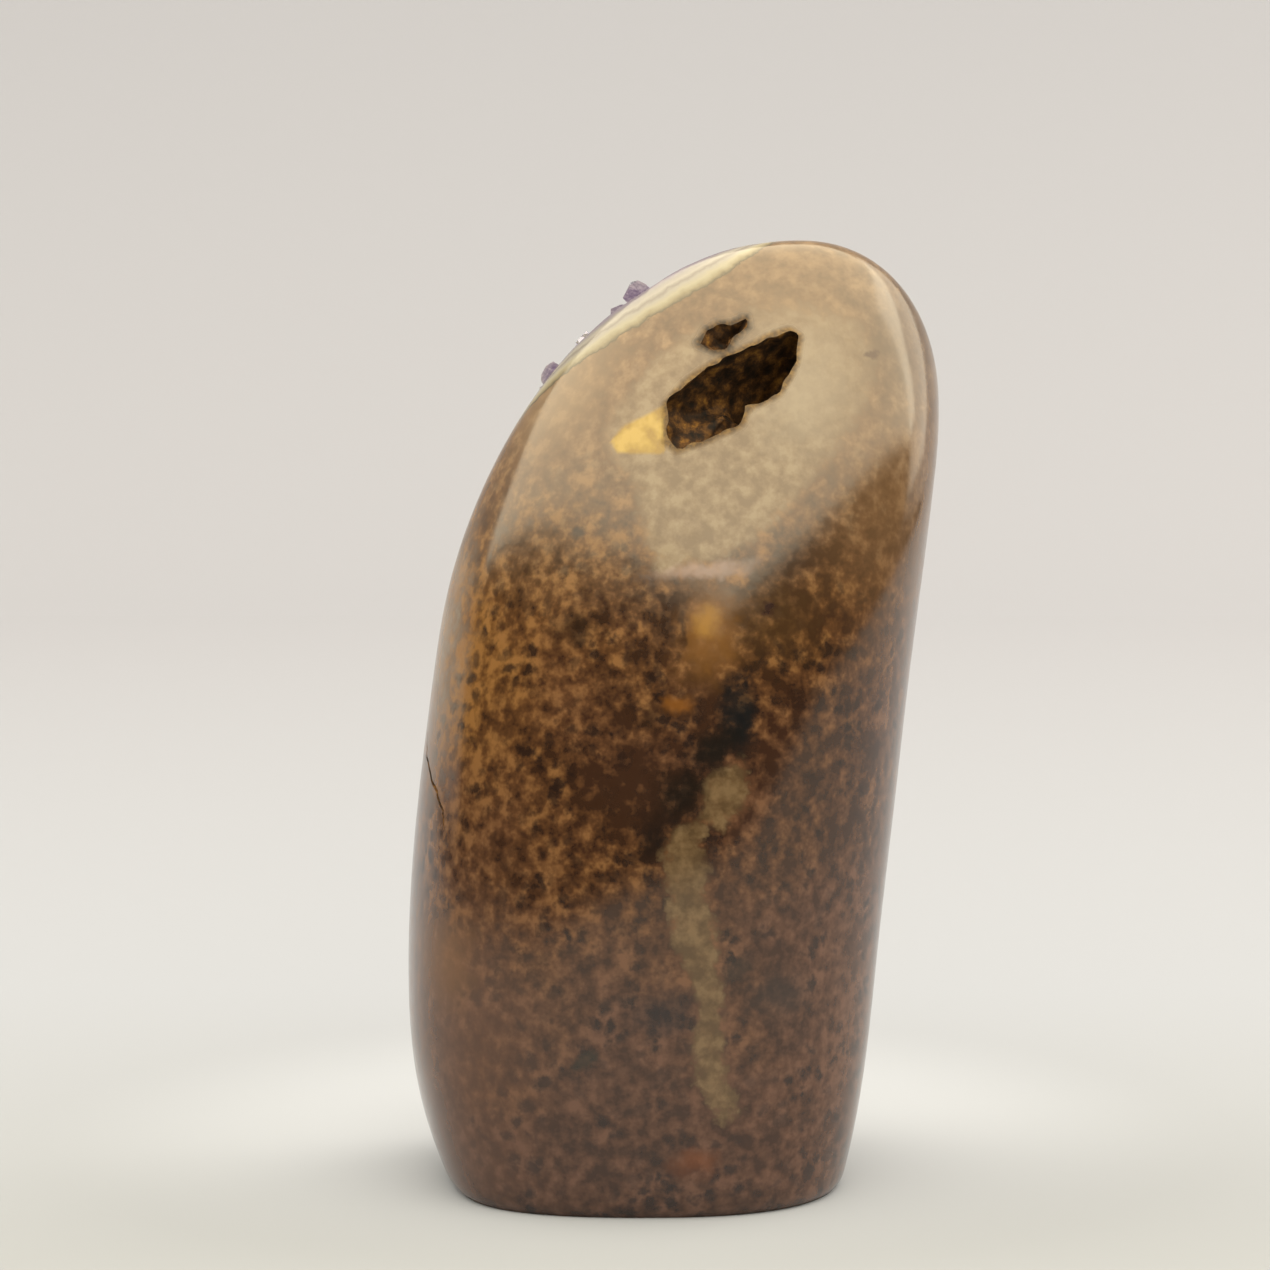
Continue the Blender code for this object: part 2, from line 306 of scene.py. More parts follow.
vugForm = {
    # seen from the front, as (x, height)
    "outline": (
        (-0.5, 76.9), (-0.5, 73.6), (0.4, 72.7), (3.6, 73.8), (6.6, 75.2), (6.9, 76.7), (9.8, 77.7),
        (10.7, 78.9), (11.7, 80.9), (12.0, 83.1), (11.1, 83.7), (8.9, 82.9), (6.8, 81.9), (4.8, 81.1),
        (2.5, 79.7), (1.1, 78.6),
    ),
    "smallOutline": (
        (2.6, 82.5), (3.2, 83.6), (4.2, 84.2), (5.6, 84.3), (7.0, 84.8), (7.1, 84.1), (6.1, 83.4),
        (5.2, 82.1), (4.0, 81.9),
    ),
    "depths": (3.2, 8.2),  # at the lower left end and at the upper right end
    "smallDepths": (1.6, 2.0),
    # (share of the depth, width there)
    "steps": ((0.03, 1.0), (0.1, 1.03), (0.2, 1.05), (0.32, 1.03), (0.45, 0.98), (0.58, 0.92), (0.7, 0.84),
              (0.8, 0.74), (0.88, 0.62), (0.94, 0.46), (0.98, 0.3), (1.0, 0.15)),
    "smallSteps": ((0.06, 0.97), (0.16, 0.9), (0.3, 0.8), (0.45, 0.7), (0.62, 0.58), (0.8, 0.44),
                   (0.93, 0.3), (1.0, 0.15)),
    "segments": 112,
    "smallSegments": 40,
    "axis": (0.05, 0.80, -0.60),  # which way the pits go in
    "lift": 3.0,  # how far a cutting tool stands out of the stone
    "edgeRough": 0.32,
    "edgePitch": 0.9,  # steps of the noise for each millimetre
    "edgeLayers": (0.3, 7.7),  # of the noise, for across and up
    "lumpSize": 1.7,
    "lumpHeight": 0.75,
    "lumpLevel": 0.45,
    "lumpFade": 5,  # the lumps are full from a fifth of the depth
    "heart": 0.5,  # the lumps swell towards here, in the least depth
}

crackForm = {
    # (x, height)
    "path": ((-23.7, 44.4), (-23.7, 42.6), (-23.25, 40.6), (-22.5, 39.2), (-21.9, 37.9), (-21.7, 36.2)),
    "halfWidth": 0.2,
    "depth": 0.8,
    "lift": 0.3,
    "flare": 1.4,  # how much wider it is at the lift
    "wander": 0.25,
    "wanderPitch": 1.3,
    "wanderLayer": 2.1,
    "endTurn": 0.12,  # it opens and closes along half a sine wave, short of its ends by this
    "endPower": 0.5,
    "sections": 26,
}


def evenHollowPoint(turn, dip, inset):  # dip is 0 at the hollow's floor and a quarter turn at the ground face
    form = hollowForm
    along = np.cos(turn) * np.sin(dip)
    up = np.sin(turn) * np.sin(dip)
    along = along * (np.where(along > 0, form["right"], form["left"]) - inset)
    up = up * (np.where(up > 0, form["up"], form["down"]) - inset)
    out = -np.cos(dip) * (form["depth"] - inset)
    return onFace(form["middle"][0] + along, form["middle"][1] + up, out)


def hollowPoint(turn, dip, inset):  # with the wandering edge of a natural hollow
    places = evenHollowPoint(turn, dip, inset)
    outwards = places - onFace(*hollowForm["middle"], 0.0)
    wander = [noise.noise(Vector(place) / hollowForm["roughLength"]) for place in places.reshape(-1, 3)]
    wander = np.array(wander).reshape(places.shape[:-1])[..., None] * hollowForm["rough"]
    return places + outwards / np.linalg.norm(outwards, axis=-1, keepdims=True) * wander


def hollowShape(inset, finish=0):
    turns = np.arange(hollowForm["segments"]) * 2 * math.pi / hollowForm["segments"]
    dips = np.arange(1, hollowForm["rings"]) * math.pi / hollowForm["rings"]
    rings = [hollowPoint(turns, dip, inset) for dip in dips]
    return closedRings(rings, hollowPoint(0.0, 0.0, inset), hollowPoint(0.0, math.pi, inset), finish)


def resampled(outline, count):  # evenly spaced points round a closed outline
    corners = np.array(outline + outline[:1], float)
    along = np.concatenate([[0], np.cumsum(np.hypot(*np.diff(corners, axis=0).T))])
    stations = np.arange(count) * along[-1] / count
    return np.stack([np.interp(stations, along, corners[:, i]) for i in (0, 1)], axis=1)


def vugShape(outline, depths, steps, segments):  # a pit with a lumpy lining
    form = vugForm
    flat = resampled(outline, segments)
    pitch = form["edgePitch"]
    jitter = [[noise.noise(Vector((x * pitch, z * pitch, layer))) for layer in form["edgeLayers"]]
              for x, z in flat]
    flat = flat + np.array(jitter) * form["edgeRough"]
    brim = frontSurface(flat[:, 0], flat[:, 1])
    inwards = unit(form["axis"])
    middle = brim.mean(axis=0)
    rise = brim[:, 0] + brim[:, 2]
    share = (rise - rise.min()) / (rise.max() - rise.min())
    depth = depths[0] + (depths[1] - depths[0]) * share
    heart = middle + inwards * depths[0] * form["heart"]
    rings = [brim - inwards * form["lift"], brim]
    for portion, width in steps:
        ring = middle + (brim - middle) * width + inwards * (depth * portion)[:, None]
        for place in ring:
            gap = noise.voronoi(Vector(place / form["lumpSize"]))[0][0]
            lump = (form["lumpLevel"] - gap) * form["lumpHeight"] * min(1.0, portion * form["lumpFade"])
            place += unit(heart - place) * lump
        rings.append(ring)
    return closedRings(rings, rings[0].mean(axis=0), rings[-1].mean(axis=0), 1)


def outwardsAt(places):  # which way the polished surface faces
    step = 0.05
    slopes = [outsideBy(places + step * axis) - outsideBy(places - step * axis) for axis in np.eye(3)]
    slopes = np.stack(slopes, axis=1)
    return slopes / np.linalg.norm(slopes, axis=1, keepdims=True)


def crackShape():  # a thin wedge that follows the surface and runs out at both ends
    form = crackForm
    corners = np.array(form["path"])
    stations = np.linspace(0, len(corners) - 1, form["sections"])
    flat = [np.interp(stations, np.arange(len(corners)), corners[:, i]) for i in (0, 1)]
    pitch, layer = form["wanderPitch"], form["wanderLayer"]
    wander = [noise.noise(Vector((x * pitch, z * pitch, layer))) * form["wander"] for x, z in zip(*flat)]
    flat[0] = flat[0] + wander
    line = frontSurface(*flat)
    outwards = outwardsAt(line)
    sideways = np.cross(outwards, np.gradient(line, axis=0))
    sideways /= np.linalg.norm(sideways, axis=1, keepdims=True)
    turns = np.linspace(form["endTurn"], math.pi - form["endTurn"], form["sections"])
    opening = np.sin(turns)[:, None] ** form["endPower"]
    lips = sideways * form["halfWidth"] * opening * form["flare"]
    bottom = line - outwards * form["depth"] * opening
    brim = line + outwards * form["lift"]
    rings = np.stack([brim + lips, bottom, brim - lips], axis=1)
    return closedRings(list(rings), rings[0].mean(axis=0), rings[-1].mean(axis=0), 1)


# Where the stone's markings are, as distances that its material reads

markings = {
    # the rock's edge against the geode's agate: an ellipsoid on the ground face
    "geodeMiddle": (1.0, 16.0),
    "geodeReach": (20.4, 17.5, 31.0, 50.0, 12.0),  # left, right, up, down, in
    # outlines and bands seen from the front, as (x, height)
    "agateOutline": (
        (-6.3, 73.2), (-5.4, 76.5), (-1.0, 81.4), (2.5, 84.0), (7.4, 85.6), (12.7, 85.9), (17.6, 84.6),
        (19.6, 81.3), (18.9, 77.9), (15.2, 72.4), (11.8, 68.2), (8.6, 65.0), (3.6, 62.4), (-1.1, 61.2),
        (-2.6, 64.6), (-3.6, 69.4),
    ),
    "yellowOutline": ((-6.0, 73.3), (-5.2, 72.2), (-0.6, 72.2), (-0.6, 76.9), (-2.4, 76.0), (-4.6, 74.9)),
    # (x, height, half its width)
    "veinPath": (
        (5.9, 43.0, 1.0), (5.0, 41.0, 2.2), (4.2, 39.4, 1.7), (3.0, 38.0, 0.6), (0.9, 36.6, 1.3),
        (1.0, 34.8, 1.9), (1.5, 31.3, 1.8), (2.1, 27.5, 2.1), (2.8, 23.8, 1.4), (3.7, 21.3, 1.1),
        (3.4, 17.0, 1.6), (3.9, 13.6, 1.4), (5.2, 10.6, 1.1),
    ),
    "frontEnds": -3.0,  # outlines and bands stay on the rock side, in front of this
    "farAway": 1000.0,
    "tiny": 1e-6,  # keeps a level line and the ellipsoid's middle from dividing by nothing
}


def distanceToPath(x, z, path):  # less than 0 inside a band that has a width
    best = np.full(x.shape, markings["farAway"])
    for start, end in zip(path, path[1:]):
        dx = end[0] - start[0]
        dz = end[1] - start[1]
        share = np.clip(((x - start[0]) * dx + (z - start[1]) * dz) / (dx * dx + dz * dz), 0, 1)
        gap = np.hypot(x - start[0] - share * dx, z - start[1] - share * dz)
        if len(start) > 2:
            gap = gap - start[2] - share * (end[2] - start[2])
        best = np.minimum(best, gap)
    return best


def distanceToOutline(x, z, outline):  # less than 0 inside it
    closed = outline + outline[:1]
    inside = np.zeros(x.shape, bool)
    for (x0, z0), (x1, z1) in zip(closed, closed[1:]):
        crosses = (z0 > z) != (z1 > z)
        inside ^= crosses & (x < (x1 - x0) * (z - z0) / ((z1 - z0) or markings["tiny"]) + x0)
    return np.where(inside, -1, 1) * distanceToPath(x, z, closed)


def storeMarkings(mesh):
    places = vertexPlaces(mesh)
    x, y, z = places.T
    fromFace = places - onFace(*markings["geodeMiddle"], 0.0)
    along, up, out = fromFace @ faceAlong, fromFace @ faceUp, fromFace @ faceOut
    left, right, above, below, into = markings["geodeReach"]
    halves = (np.where(along > 0, right, left), np.where(up > 0, above, below), into)
    shares = [value / half for value, half in zip((along, up, out), halves)]
    radius = np.sqrt(sum(share**2 for share in shares)) + markings["tiny"]
    slope = np.sqrt(sum((share / half) ** 2 for share, half in zip(shares, halves))) / radius
    storeNumbers(mesh, "geodeEdge", (radius - 1) / (slope + markings["tiny"]))
    ends = markings["frontEnds"]
    front = np.where(y > ends, y - ends, -markings["farAway"])
    distances = {
        "agateEdge": distanceToOutline(x, z, markings["agateOutline"]),
        "yellowEdge": distanceToOutline(x, z, markings["yellowOutline"]),
        "veinEdge": distanceToPath(x, z, markings["veinPath"]),
        "vugEdge": distanceToOutline(x, z, vugForm["outline"]),
        "smallVugEdge": distanceToOutline(x, z, vugForm["smallOutline"]),
    }
    for name, distance in distances.items():
        storeNumbers(mesh, name, np.maximum(distance, front))


# Polished basalt and agate

rockFinish = {
    # size in mm, detail, roughness and distortion of each grain
    "grains": {
        "mottle": (1.4, 2.0, 0.5, 0.0),
        "fine": (0.5, 2.0, 0.6, 0.0),
        "patches": (5.5, 2.0, 0.5, 0.0),
        "cloud": (17.0, 2.0, 0.5, 0.0),
        "agate": (1.5, 3.0, 0.6, 0.0),
        "edges": (3.0, 3.0, 0.6, 0.0),
        "polish": (0.9, 2.0, 0.5, 0.0),
    },
    # how far every marking's edge wanders: share of the mottle and of the fine grain, and a shift
    "wander": (2.2, 0.9, -1.55),
    "warp": 3.2,  # how far noise pulls the stains and dark grains out of shape
    "blotchWander": 0.32,  # in a stain's reach
    # how dark the basalt is: share of the fine grain and of the patches beside the mottle, and a shift
    "tone": (0.3, 0.4, -0.35),
    "toneStops": (0.30, 0.50, 0.70),
    "warmBasalt": ("#2a190a", "#503415", "#7d582a"),  # dark, middle and light grains
    "purpleBasalt": ("#352219", "#4a3226", "#5c4134"),
    "warmth": (17.0, -9.0, 1.1),  # for each metre up, for each metre to the right, and from the cloud
    "warmthRange": {"From Min": 0.85, "From Max": 1.95},
    # dark grains: how large, how much the fine grain frays them, their edge, and how thick they lie
    "spotSize": 1.7,
    "spotFray": 0.4,
    "spotEdge": {"From Min": 0.74, "From Max": 0.42},
    "spotCrowd": {"From Min": 0.38, "From Max": 0.62, "To Min": 0.15, "To Max": 0.85},
    "spotColours": ("#1e1514", "#1c1009"),
    # towards the top the basalt pales and its mottle calms down, partly paler rock, partly painted reflection
    # of the overhead light
    "crownAndSheen": ("#543f29", "#68513a", "#7d6850"),
    "crownRise": {"From Min": 57 * mm, "From Max": 74 * mm, "To Max": 0.8},
    "patchStops": (0.38, 0.5, 0.64),
    # roughness of the polish, of the pits' unpolished edges, and what the sawn base adds
    "polish": {"From Min": 0.3, "From Max": 0.7, "To Min": 0.11, "To Max": 0.19},
    "pitWander": 0.2,
    "pitted": {"From Min": 0.15, "From Max": 0.8, "To Min": 0.8},
    "sawn": {"From Min": 0.5 * mm, "From Max": 0.05 * mm, "To Max": 0.35},
    "ripple": {"Strength": 0.08, "Distance": 0.05 * mm},  # what hand polishing leaves
    "shader": {"IOR": 1.55},
}

# attribute, how far its edge wanders, where it starts and where it is full (mm), strength, grain, colours
rockPatches = (
    ("agateEdge", 0.9, 0.7, -0.9, 1.0, "agate", ("#64523d", "#715f49", "#7e6e58")),
    ("veinEdge", 1.3, 0.45, -0.6, 0.88, "agate", ("#4d3d2a", "#5c4a34", "#6c5941")),
)
rimPatches = (
    ("yellowEdge", 0.12, 0.12, -0.35, 0.95, "mottle", ("#876a20", "#977b2c", "#a78b3e")),
    ("vugEdge", 0.2, 0.75, 0.1, 0.75, "fine", ("#3d2a10", "#5a4119", "#745826")),
    ("smallVugEdge", 0.2, 1.0, 0.1, 0.9, "fine", ("#1d1206", "#33220c", "#4d3615")),
)

# Lighter and darker rounded regions that keep the basalt's grain, one of them a painted sheen: middle (x, y,
# height), reach (across, in, up), turn in degrees and change of tone
shadeSoftness = 0.9
shades = (
    ((-13.0, -12.0, 60.0), (11.0, 14.0, 7.0), -20, 0.03),
    ((-10.5, -18.0, 50.5), (7.0, 9.0, 5.0), 0, 0.07),
    ((-1.5, -20.0, 52.0), (4.5, 9.0, 4.5), 0, 0.05),
    ((-19.5, -14.0, 48.0), (4.5, 12.0, 18.0), 0, 0.12),
    ((-0.5, -20.0, 42.5), (8.5, 9.0, 15.0), 0, -0.17),
    ((10.5, -18.0, 56.0), (6.5, 9.0, 8.0), 0, -0.12),
    # painted sheen: the lower right edge made lighter where the polish catches light
    ((17.0, -12.0, 17.0), (4.0, 12.0, 10.0), 0, 0.10),
    ((-8.0, -20.0, 42.0), (8.0, 9.0, 3.5), 10, -0.10),
    ((15.0, -18.0, 42.0), (8.0, 9.0, 10.0), 0, -0.12),
    ((0.5, -20.0, 7.0), (10.0, 9.0, 4.5), 0, -0.08),
)

# Iron stains, clay-filled bubbles and mineral patches, with painted highlights and painted reflection in some
# of them as
# marked, painted over the grain: middle, reach, turn, colour, strength and how soft the edge is
stains = {
    # partly paler rock, partly painted reflection of the overhead light on the polished top
    "paleCrownAndSheen": ((13.0, -7.0, 90.0), (23.0, 20.0, 12.0), 20, "#665541", 0.5, 0.8),
    "paleShoulder": ((-12.0, -9.0, 73.5), (13.0, 14.0, 6.5), -50, "#66503c", 0.35, 0.9),
    "agateLight": ((12.0, -12.0, 78.5), (5.5, 9.0, 6.5), 0, "#857968", 0.6, 0.9),
    "paleRight": ((22.0, -8.0, 68.0), (9.0, 14.0, 15.0), 10, "#604a35", 0.5, 0.9),
    "tanRight": ((23.0, -6.0, 84.0), (5.0, 12.0, 9.0), 0, "#4a3927", 0.7, 0.9),
    "paleUpperLeft": ((-11.0, -6.0, 79.0), (8.0, 12.0, 5.0), -45, "#86735b", 0.4, 0.9),
    "paleLeftEdge": ((-24.5, -8.0, 60.0), (4.8, 14.0, 17.0), 0, "#9a8c7c", 0.75, 0.95),
    "paleFlank": ((-20.0, -12.0, 12.0), (8.0, 14.0, 15.0), 0, "#5b3e2e", 0.5, 0.9),
    "oliveRight": ((9.5, -18.0, 57.0), (5.0, 9, 4.5), 0, "#46331c", 0.45, 0.8),
    "amberHalo": ((3.3, -19.5, 55.6), (3.0, 9, 4.7), 8, "#6c4a24", 0.8, 0.8),
    # partly the amber's own golden colour, partly a painted highlight on its left edge
    "amberCoreAndHighlight": ((3.2, -19.5, 56.9), (1.3, 9, 1.5), 12, "#94703a", 0.7, 0.9),
    "amberDrop": ((0.4, -20.0, 49.2), (1.3, 9, 0.9), 10, "#74491b", 0.7, 0.8),
    "darkHollowLine": ((0.8, -19.0, 56.4), (0.5, 9, 2.9), 6, "#241407", 0.75, 0.8),
    "darkShadow": ((0.9, -21.0, 41.0), (2.5, 9, 2.8), 25, "#14100c", 0.85, 0.8),
    "darkBlotch": ((6.3, -20.0, 48.0), (2.0, 9, 4.2), -6, "#111315", 0.9, 0.7),
    "darkBlotchFoot": ((4.0, -20.0, 45.0), (2.6, 9, 1.8), -20, "#12110f", 0.85, 0.8),
    "darkVeinSide": ((-1.8, -21.0, 36.6), (1.5, 9, 2.9), 15, "#17110e", 0.75, 0.9),
    "darkUpperLeft": ((-9.2, -16.0, 56.0), (2.6, 9, 1.8), -15, "#1f140a", 0.6, 0.9),
    "darkMiddle": ((-2.0, -20.0, 48.2), (1.3, 9, 1.2), 0, "#1c120c", 0.6, 0.8),
    "plumSpot": ((9.0, -17.5, 58.0), (0.8, 9, 0.9), 0, "#1f0e10", 0.75, 0.7),
    "darkRightSpot": ((10.4, -18.0, 40.4), (0.9, 9, 0.5), -10, "#1a1210", 0.65, 0.7),
    "purpleBlotch": ((-0.9, -21.0, 20.2), (3.2, 9, 2.1), -10, "#1f1719", 0.75, 0.8),
    "bubbleRight": ((10.3, -19.0, 21.4), (3.2, 9, 2.3), -10, "#2a2220", 0.65, 0.8),
    "bubbleMiddle": ((6.0, -20.5, 24.4), (1.3, 9, 1.2), 0, "#211d1b", 0.6, 0.7),
    "bubbleLeft": ((-8.2, -21.0, 15.6), (1.5, 9, 0.95), -32, "#23211c", 0.75, 0.6),
    "blueSpot": ((-9.1, -14.7, 65.0), (1.0, 9, 0.6), -10, "#2a2a2b", 0.7, 0.7),
    "shoulderSpot": ((18.9, -8.7, 81.3), (0.7, 9, 0.4), -15, "#3d2618", 0.75, 0.6),
    "rustSpot": ((2.1, -20.0, 5.8), (2.1, 9, 1.8), 0, "#633514", 0.65, 0.9),
    "orangeFlank": ((-21.5, -13.0, 24.0), (3.0, 10, 5.0), 0, "#684722", 0.5, 0.95),
    # partly a pale mineral band, partly a painted highlight along the lower edge of the reflected veil
    "paleBandAndHighlight": ((3.2, -18.2, 61.5), (5.0, 9, 0.8), -9, "#98827a", 0.55, 0.9),
    "darkUnderBand": ((10.6, -17.5, 62.0), (3.4, 9, 1.5), -38, "#24160e", 0.35, 0.9),
    "rustTail": ((5.2, -11.4, 81.5), (0.9, 6, 1.3), -25, "#4a3414", 0.85, 0.7),
    "yellowDot": ((-4.2, -13.3, 73.8), (0.42, 6, 0.22), 0, "#3c2508", 0.8, 0.4),
}

geodeLayers = {  # from the rock inwards: green-grey rind, banded agate, milky quartz
    "starts": 0.35,
    "ends": -2.6,
    "blend": 0.1,
    "wander": 0.22,
    "stops": (
        (0.0, "#4f4636"), (0.08, "#7a7059"), (0.2, "#8d8775"), (0.3, "#85807a"), (0.38, "#716b66"),
        (0.48, "#8a8580"), (0.6, "#7b7776"), (0.76, "#6c6574"), (1.0, "#757080"),
    ),
}


def polishedRock():
    # Basalt and agate, ground smooth and polished: dark mottled rock whose glassy skin mirrors the lights
    finish = rockFinish
    material, tree = newMaterial("polished basalt and agate")
    add = partial(addNode, tree)
    place = add("ShaderNodeTexCoord").outputs["Object"]
    grain = {}
    for name, (size, detail, roughness, distortion) in finish["grains"].items():
        grain[name] = add("ShaderNodeTexNoise", {
            "Vector": place, "Scale": 1 / (size * mm), "Detail": detail, "Roughness": roughness,
            "Distortion": distortion})
    ofMottle, ofFine, shift = finish["wander"]
    wander = add("ShaderNodeMath", {0: grain["mottle"], 1: ofMottle, 2: shift}, operation="MULTIPLY_ADD")
    wander = add("ShaderNodeMath", {0: grain["fine"], 1: ofFine, 2: wander}, operation="MULTIPLY_ADD")
    warp = add("ShaderNodeVectorMath", {0: grain["edges"].outputs["Color"], 1: (0.5,) * 3},
               operation="SUBTRACT")
    pull = (finish["warp"] * mm,) * 3
    warp = add("ShaderNodeVectorMath", {0: warp, 1: pull, 2: place}, operation="MULTIPLY_ADD")

    def blotch(middle, reach, turn, soft, strength):  # a rounded region with a wandering edge
        local = add("ShaderNodeMapping", {
            "Vector": warp, "Location": tuple(v * mm for v in middle), "Rotation": (0, math.radians(turn), 0),
            "Scale": tuple(v * mm for v in reach)}, vector_type="TEXTURE")
        distance = add("ShaderNodeVectorMath", {0: local}, operation="LENGTH")
        distance = add("ShaderNodeMath", {0: wander, 1: finish["blotchWander"], 2: distance},
                       operation="MULTIPLY_ADD")
        return add("ShaderNodeMapRange", {"Value": distance, "From Min": 1 + soft * 0.5, "From Max": 1 - soft,
                   "To Max": strength}, interpolation_type="SMOOTHSTEP")

    ofFine, ofPatches, shift = finish["tone"]
    tone = add("ShaderNodeMath", {0: grain["fine"], 1: ofFine, 2: grain["mottle"]}, operation="MULTIPLY_ADD")
    tone = add("ShaderNodeMath", {0: grain["patches"], 1: ofPatches, 2: tone}, operation="MULTIPLY_ADD")
    tone = add("ShaderNodeMath", {0: tone, 1: shift}, operation="ADD")
    for middle, reach, turn, change in shades:
        change = blotch(middle, reach, turn, shadeSoftness, change)
        tone = add("ShaderNodeMath", {0: tone, 1: change}, operation="ADD")
    basalt = [add("ShaderNodeValToRGB", {"Fac": tone}, stops=list(zip(finish["toneStops"], finish[kind])))
              for kind in ("purpleBasalt", "warmBasalt")]
    # the rock is warmer towards the top left
    axes = add("ShaderNodeSeparateXYZ", {"Vector": place})
    upwards, rightwards, ofCloud = finish["warmth"]
    warmth = add("ShaderNodeMath", {0: axes.outputs["Z"], 1: upwards}, operation="MULTIPLY")
    warmth = add("ShaderNodeMath", {0: axes.outputs["X"], 1: rightwards, 2: warmth}, operation="MULTIPLY_ADD")
    warmth = add("ShaderNodeMath", {0: grain["cloud"], 1: ofCloud, 2: warmth}, operation="MULTIPLY_ADD")
    warmth = add("ShaderNodeMapRange", {"Value": warmth, **finish["warmthRange"]})
    colour = add("ShaderNodeMix", {"Factor": warmth, "A": basalt[0], "B": basalt[1]}, data_type="RGBA")

    # round dark grains, thick in some places and thin in others
    spots = add("ShaderNodeTexVoronoi", {"Vector": warp, "Scale": 1 / (finish["spotSize"] * mm)})
    fray = finish["spotFray"]
    spots = add("ShaderNodeMath", {0: grain["fine"], 1: fray, 2: spots}, operation="MULTIPLY_ADD")
    spots = add("ShaderNodeMapRange", {"Value": spots, **finish["spotEdge"]})
    crowd = add("ShaderNodeMapRange", {"Value": grain["patches"], **finish["spotCrowd"]})
    spots = add("ShaderNodeMath", {0: spots, 1: crowd}, operation="MULTIPLY")
    cool, warm = finish["spotColours"]
    dark = add("ShaderNodeMix", {"Factor": warmth, "A": cool, "B": warm}, data_type="RGBA")
    colour = add("ShaderNodeMix", {"Factor": spots, "A": colour, "B": dark}, data_type="RGBA")

    def paintPatches(colour, patches):
        for name, share, starts, full, strength, grainName, colours in patches:
            edge = add("ShaderNodeAttribute", attribute_name=name).outputs["Fac"]
            edge = add("ShaderNodeMath", {0: wander, 1: share, 2: edge}, operation="MULTIPLY_ADD")
            mask = add("ShaderNodeMapRange", {"Value": edge, "From Min": starts, "From Max": full,
                       "To Max": strength}, interpolation_type="SMOOTHSTEP")
            paint = add("ShaderNodeValToRGB", {"Fac": grain[grainName]},
                        stops=list(zip(finish["patchStops"], colours)))
            colour = add("ShaderNodeMix", {"Factor": mask, "A": colour, "B": paint}, data_type="RGBA")
        return colour

    # painted reflection: the top is paled and its grain calmed, partly paler rock, partly the overhead
    # light's veil painted in
    rise = add("ShaderNodeMapRange", {"Value": axes.outputs["Z"], **finish["crownRise"]})
    crownAndSheen = add("ShaderNodeValToRGB", {"Fac": tone}, stops=list(zip(finish["toneStops"], finish["crownAndSheen"])))
    colour = add("ShaderNodeMix", {"Factor": rise, "A": colour, "B": crownAndSheen}, data_type="RGBA")
    colour = paintPatches(colour, rockPatches)
    for middle, reach, turn, code, strength, soft in stains.values():
        mask = blotch(middle, reach, turn, soft, strength)
        colour = add("ShaderNodeMix", {"Factor": mask, "A": colour, "B": code}, data_type="RGBA")
    colour = paintPatches(colour, rimPatches)

    edge = add("ShaderNodeAttribute", attribute_name="geodeEdge").outputs["Fac"]
    edge = add("ShaderNodeMath", {0: wander, 1: geodeLayers["wander"], 2: edge}, operation="MULTIPLY_ADD")
    starts = geodeLayers["starts"]
    depth = add("ShaderNodeMapRange", {"Value": edge, "From Min": starts, "From Max": geodeLayers["ends"]})
    layers = add("ShaderNodeValToRGB", {"Fac": depth}, stops=geodeLayers["stops"])
    mask = add("ShaderNodeMapRange", {"Value": edge, "From Min": starts + geodeLayers["blend"],
               "From Max": starts})
    colour = add("ShaderNodeMix", {"Factor": mask, "A": colour, "B": layers}, data_type="RGBA")

    rough = add("ShaderNodeMapRange", {"Value": grain["mottle"], **finish["polish"]})
    for name in ("vugEdge", "smallVugEdge"):
        edge = add("ShaderNodeAttribute", attribute_name=name).outputs["Fac"]
        edge = add("ShaderNodeMath", {0: wander, 1: finish["pitWander"], 2: edge}, operation="MULTIPLY_ADD")
        rough = add("ShaderNodeMapRange", {"Value": edge, **finish["pitted"], "To Max": rough})
    sawn = add("ShaderNodeMapRange", {"Value": axes.outputs["Z"], **finish["sawn"]})
    rough = add("ShaderNodeMath", {0: rough, 1: sawn}, operation="ADD")
    ripple = add("ShaderNodeBump", {"Height": grain["polish"], **finish["ripple"]})
    shader = add("ShaderNodeBsdfPrincipled", {"Base Color": colour, "Roughness": rough, "Normal": ripple,
                 **finish["shader"]})
    add("ShaderNodeOutputMaterial", {"Surface": shader})
    return material


# Bare druse stained by iron and never polished: nearly black in the pit, with brown and golden lumps
druseFinish = {
    "cloud": {"Scale": 1 / (1.5 * mm), "Detail": 4.0, "Roughness": 0.65},
    "stops": ((0.36, "#140c05"), (0.48, "#33200e"), (0.6, "#5f401c"), (0.72, "#8f672a")),
    "bump": {"Strength": 0.6, "Distance": 0.3 * mm},
    "shader": {"Roughness": 0.75, "Specular IOR Level": 0.25},
}

# Clear violet quartz: see-through, with glassy faces, and deeper in colour where the crystal is thick
amethystFinish = {
    "cloud": {"Scale": 1 / (4.0 * mm), "Detail": 2.0},
    "stops": ((0.35, "#fbf7fe"), (0.6, "#eadbf8")),
    "skin": {"Scale": 1 / (0.7 * mm), "Detail": 3.0},
    "bump": {"Strength": 0.12, "Distance": 0.1 * mm},
    "shader": {"Roughness": 0.04, "IOR": 1.544, "Transmission Weight": 1.0},
    "inside": {"Color": "#b97fd6", "Density": 60.0},
}

# Cloudy white quartz under the crystals: sugary and dull, with a little of their violet
bedFinish = {
    "cloud": {"Scale": 1 / (2.2 * mm), "Detail": 4.0},
    "stops": ((0.35, "#655878"), (0.55, "#7f788a"), (0.7, "#918d8f")),
    "skin": {"Scale": 1 / (0.5 * mm), "Detail": 3.0},
    "bump": {"Strength": 0.5, "Distance": 0.25 * mm},
    "shader": {"Roughness": 0.3, "IOR": 1.544},
}


